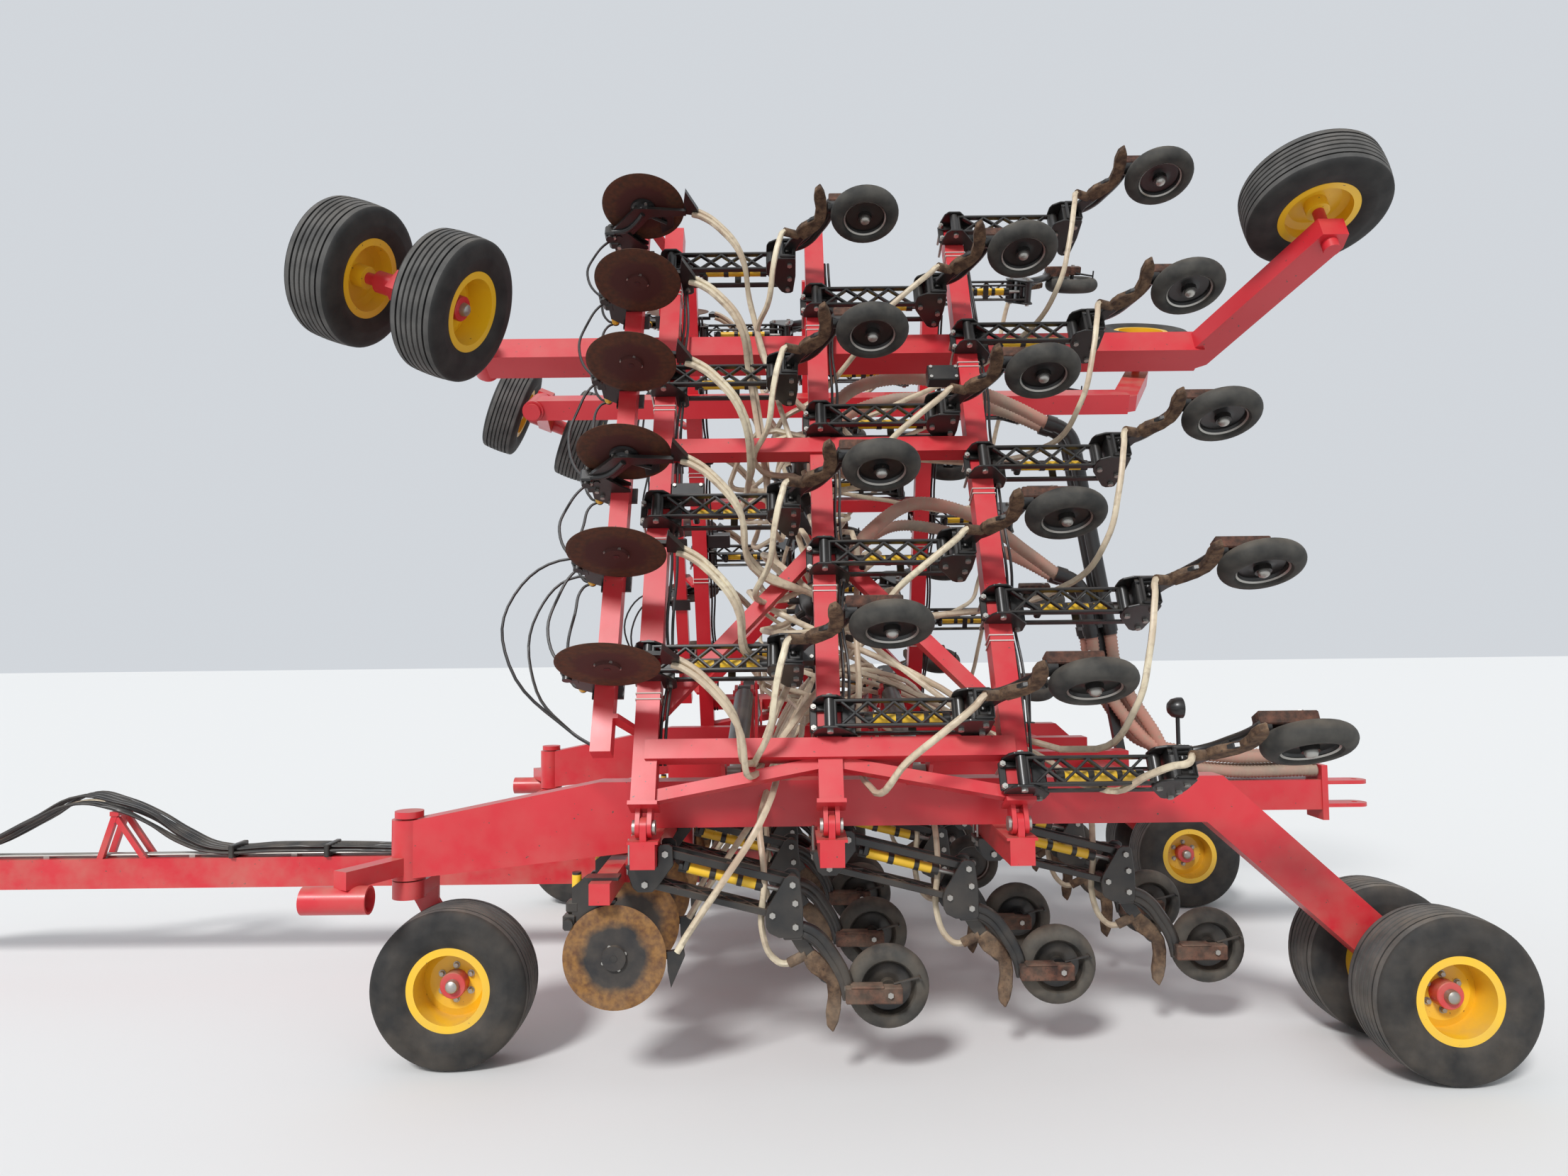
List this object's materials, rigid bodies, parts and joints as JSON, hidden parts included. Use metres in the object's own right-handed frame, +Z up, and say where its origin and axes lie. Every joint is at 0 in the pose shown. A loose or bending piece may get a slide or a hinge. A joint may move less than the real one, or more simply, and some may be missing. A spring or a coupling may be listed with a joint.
{
  "type": "folding seed drill",
  "caption": "Towed hoe seed drill with both wings folded up over its centre frame, ranks of parallel-link openers with packer wheels, banding discs and caster wheels.",
  "frame": {"origin": "on the ground, at the middle of the drill's length and width, wings folded", "axes": "+X rearward, away from the drawbar's hitch; +Y to the machine's right side; +Z up"},
  "size_m": [10.3996, 5.4602, 5.1689],
  "materials": {
    "red_paint": "gloss, dusty",
    "black_paint": "satin, dusty",
    "yellow_paint": "gloss",
    "tyre": "worn, dusty",
    "packer_rubber": "worn, dusty",
    "disc_steel": "rusty",
    "bright_steel": "plated"
  },
  "bodies": {
    "root": {"main_ranks": "red_paint", "main_beams": "red_paint", "hinge_pins": "bright_steel", "front_arms": "red_paint", "rear_arms": "red_paint", "drawbar": "red_paint", "hydraulic_lines": "bright_steel", "rear_hitch": "red_paint", "air_tower": "black_paint", "centre_toolbar": "red_paint", "centre_banders": "black_paint", "centre_openers": "black_paint", "cross_members": "red_paint"},
    "centre_discs": {"centre_discs": "disc_steel"},
    "centre_packers_1": {"centre_packers_1": "packer_rubber"},
    "centre_packers_2": {"centre_packers_2": "packer_rubber"},
    "centre_packers_3": {"centre_packers_3": "packer_rubber"},
    "wing_l": {"wing_frame_l": "red_paint", "wheel_beam_l": "red_paint", "wing_toolbar_l": "red_paint", "wing_banders_l": "black_paint", "wing_openers_l": "black_paint"},
    "fold_barrel_l": {"cylinder_barrels_l": "black_paint"},
    "fold_rod_l": {"cylinder_rods_l": "bright_steel"},
    "wing_discs_l": {"wing_discs_l": "disc_steel"},
    "wing_packers_1_l": {"wing_packers_1_l": "packer_rubber"},
    "wing_packers_2_l": {"wing_packers_2_l": "packer_rubber"},
    "wing_packers_3_l": {"wing_packers_3_l": "packer_rubber"},
    "wing_caster_l": {"wing_caster_l": "red_paint"},
    "wing_caster_wheels_l": {"wing_caster_tyres_l": "tyre", "wing_caster_rims_l": "yellow_paint"},
    "wing_rear_wheel_l": {"wing_rear_tyre_l": "tyre", "wing_rear_rim_l": "yellow_paint"},
    "front_caster_l": {"front_caster_l": "red_paint"},
    "front_wheel_l": {"front_tyre_l": "tyre", "front_rim_l": "yellow_paint"},
    "rear_wheels_l": {"rear_tyres_l": "tyre", "rear_rims_l": "yellow_paint"},
    "wing_r": {"wing_frame_r": "red_paint", "wheel_beam_r": "red_paint", "wing_toolbar_r": "red_paint", "wing_banders_r": "black_paint", "wing_openers_r": "black_paint"},
    "fold_barrel_r": {"cylinder_barrels_r": "black_paint"},
    "fold_rod_r": {"cylinder_rods_r": "bright_steel"},
    "wing_discs_r": {"wing_discs_r": "disc_steel"},
    "wing_packers_1_r": {"wing_packers_1_r": "packer_rubber"},
    "wing_packers_2_r": {"wing_packers_2_r": "packer_rubber"},
    "wing_packers_3_r": {"wing_packers_3_r": "packer_rubber"},
    "wing_caster_r": {"wing_caster_r": "red_paint"},
    "wing_caster_wheels_r": {"wing_caster_tyres_r": "tyre", "wing_caster_rims_r": "yellow_paint"},
    "wing_rear_wheel_r": {"wing_rear_tyre_r": "tyre", "wing_rear_rim_r": "yellow_paint"},
    "front_caster_r": {"front_caster_r": "red_paint"},
    "front_wheel_r": {"front_tyre_r": "tyre", "front_rim_r": "yellow_paint"},
    "rear_wheels_r": {"rear_tyres_r": "tyre", "rear_rims_r": "yellow_paint"}
  },
  "joints": [
    {"name": "centre_disc_spin", "type": "hinge", "parent": "root", "child": "centre_discs", "pos_m": [0.366, 0, 0.68], "axis": [0, 1, 0], "continuous": true},
    {"name": "centre_packer_spin_1", "type": "hinge", "parent": "root", "child": "centre_packers_1", "pos_m": [1.69099, 0, 0.48517], "axis": [0, 1, 0], "continuous": true},
    {"name": "centre_packer_spin_2", "type": "hinge", "parent": "root", "child": "centre_packers_2", "pos_m": [2.60499, 0, 0.48517], "axis": [0, 1, 0], "continuous": true},
    {"name": "centre_packer_spin_3", "type": "hinge", "parent": "root", "child": "centre_packers_3", "pos_m": [3.51899, 0, 0.48517], "axis": [0, 1, 0], "continuous": true},
    {"name": "wing_fold_l", "type": "hinge", "parent": "root", "child": "wing_l", "pos_m": [1.419, -2.09, 1.29], "axis": [1, 0, 0], "range_deg": [0, 115.2]},
    {"name": "barrel_swing_l", "type": "hinge", "parent": "root", "child": "fold_barrel_l", "pos_m": [0.935, -0.45, 1.85], "axis": [-1, 0, 0], "range_deg": [0, 2.44]},
    {"name": "rod_slide_l", "type": "slide", "parent": "fold_barrel_l", "child": "fold_rod_l", "axis": [0, -0.9688, -0.248], "range_m": [0, 0.56241]},
    {"name": "wing_disc_spin_l", "type": "hinge", "parent": "wing_l", "child": "wing_discs_l", "pos_m": [0.366, -2.35667, 1.96808], "axis": [0, 0.4258, 0.9048], "continuous": true},
    {"name": "wing_packer_spin_1_l", "type": "hinge", "parent": "wing_l", "child": "wing_packers_1_l", "pos_m": [1.71, -2.39286, 1.98511], "axis": [0, 0.4258, 0.9048], "continuous": true},
    {"name": "wing_packer_spin_2_l", "type": "hinge", "parent": "wing_l", "child": "wing_packers_2_l", "pos_m": [2.624, -2.39286, 1.98511], "axis": [0, 0.4258, 0.9048], "continuous": true},
    {"name": "wing_packer_spin_3_l", "type": "hinge", "parent": "wing_l", "child": "wing_packers_3_l", "pos_m": [3.538, -2.39286, 1.98511], "axis": [0, 0.4258, 0.9048], "continuous": true},
    {"name": "wing_caster_swivel_l", "type": "hinge", "parent": "wing_l", "child": "wing_caster_l", "pos_m": [-0.7, -0.79137, 4.04972], "axis": [0, 0.9048, -0.4258], "continuous": true},
    {"name": "wing_caster_wheel_spin_l", "type": "hinge", "parent": "wing_caster_l", "child": "wing_caster_wheels_l", "pos_m": [-0.84066, -1.69252, 4.10753], "axis": [0.9205, -0.1664, -0.3535], "continuous": true},
    {"name": "wing_rear_wheel_spin_l", "type": "hinge", "parent": "wing_l", "child": "wing_rear_wheel_l", "pos_m": [4.235, -1.43221, 4.66073], "axis": [0, 0.4258, 0.9048], "continuous": true},
    {"name": "front_caster_swivel_l", "type": "hinge", "parent": "root", "child": "front_caster_l", "pos_m": [-0.8, -1.65, 0.9], "axis": [0, 0, 1], "continuous": true},
    {"name": "front_wheel_spin_l", "type": "hinge", "parent": "front_caster_l", "child": "front_wheel_l", "pos_m": [-0.55, -1.65, 0.413], "axis": [0, 1, 0], "continuous": true},
    {"name": "rear_wheels_spin_l", "type": "hinge", "parent": "root", "child": "rear_wheels_l", "pos_m": [4.45, -1.65, 0.413], "axis": [0, 1, 0], "continuous": true},
    {"name": "wing_fold_r", "type": "hinge", "parent": "root", "child": "wing_r", "pos_m": [1.419, 2.09, 1.29], "axis": [-1, 0, 0], "range_deg": [0, 115.2]},
    {"name": "barrel_swing_r", "type": "hinge", "parent": "root", "child": "fold_barrel_r", "pos_m": [0.935, 0.45, 1.85], "axis": [1, 0, 0], "range_deg": [0, 2.44]},
    {"name": "rod_slide_r", "type": "slide", "parent": "fold_barrel_r", "child": "fold_rod_r", "axis": [0, 0.9688, -0.248], "range_m": [0, 0.56241]},
    {"name": "wing_disc_spin_r", "type": "hinge", "parent": "wing_r", "child": "wing_discs_r", "pos_m": [0.366, 2.35667, 1.96808], "axis": [0, -0.4258, 0.9048], "continuous": true},
    {"name": "wing_packer_spin_1_r", "type": "hinge", "parent": "wing_r", "child": "wing_packers_1_r", "pos_m": [1.71, 2.39286, 1.98511], "axis": [0, -0.4258, 0.9048], "continuous": true},
    {"name": "wing_packer_spin_2_r", "type": "hinge", "parent": "wing_r", "child": "wing_packers_2_r", "pos_m": [2.624, 2.39286, 1.98511], "axis": [0, -0.4258, 0.9048], "continuous": true},
    {"name": "wing_packer_spin_3_r", "type": "hinge", "parent": "wing_r", "child": "wing_packers_3_r", "pos_m": [3.538, 2.39286, 1.98511], "axis": [0, -0.4258, 0.9048], "continuous": true},
    {"name": "wing_caster_swivel_r", "type": "hinge", "parent": "wing_r", "child": "wing_caster_r", "pos_m": [-0.7, 0.79137, 4.04972], "axis": [0, -0.9048, -0.4258], "continuous": true},
    {"name": "wing_caster_wheel_spin_r", "type": "hinge", "parent": "wing_caster_r", "child": "wing_caster_wheels_r", "pos_m": [-0.84066, 1.69252, 4.10753], "axis": [0.9205, 0.1664, -0.3535], "continuous": true},
    {"name": "wing_rear_wheel_spin_r", "type": "hinge", "parent": "wing_r", "child": "wing_rear_wheel_r", "pos_m": [4.235, 1.43221, 4.66073], "axis": [0, -0.4258, 0.9048], "continuous": true},
    {"name": "front_caster_swivel_r", "type": "hinge", "parent": "root", "child": "front_caster_r", "pos_m": [-0.8, 1.65, 0.9], "axis": [0, 0, 1], "continuous": true},
    {"name": "front_wheel_spin_r", "type": "hinge", "parent": "front_caster_r", "child": "front_wheel_r", "pos_m": [-0.55, 1.65, 0.413], "axis": [0, 1, 0], "continuous": true},
    {"name": "rear_wheels_spin_r", "type": "hinge", "parent": "root", "child": "rear_wheels_r", "pos_m": [4.45, 1.65, 0.413], "axis": [0, 1, 0], "continuous": true}
  ],
  "couplings": [
    {"joint": "barrel_swing_l", "follows": "wing_fold_l", "ratio": 0.021067},
    {"joint": "rod_slide_l", "follows": "wing_fold_l", "m_per_rad": 0.27947},
    {"joint": "barrel_swing_r", "follows": "wing_fold_r", "ratio": 0.021067},
    {"joint": "rod_slide_r", "follows": "wing_fold_r", "m_per_rad": 0.27947}
  ]
}
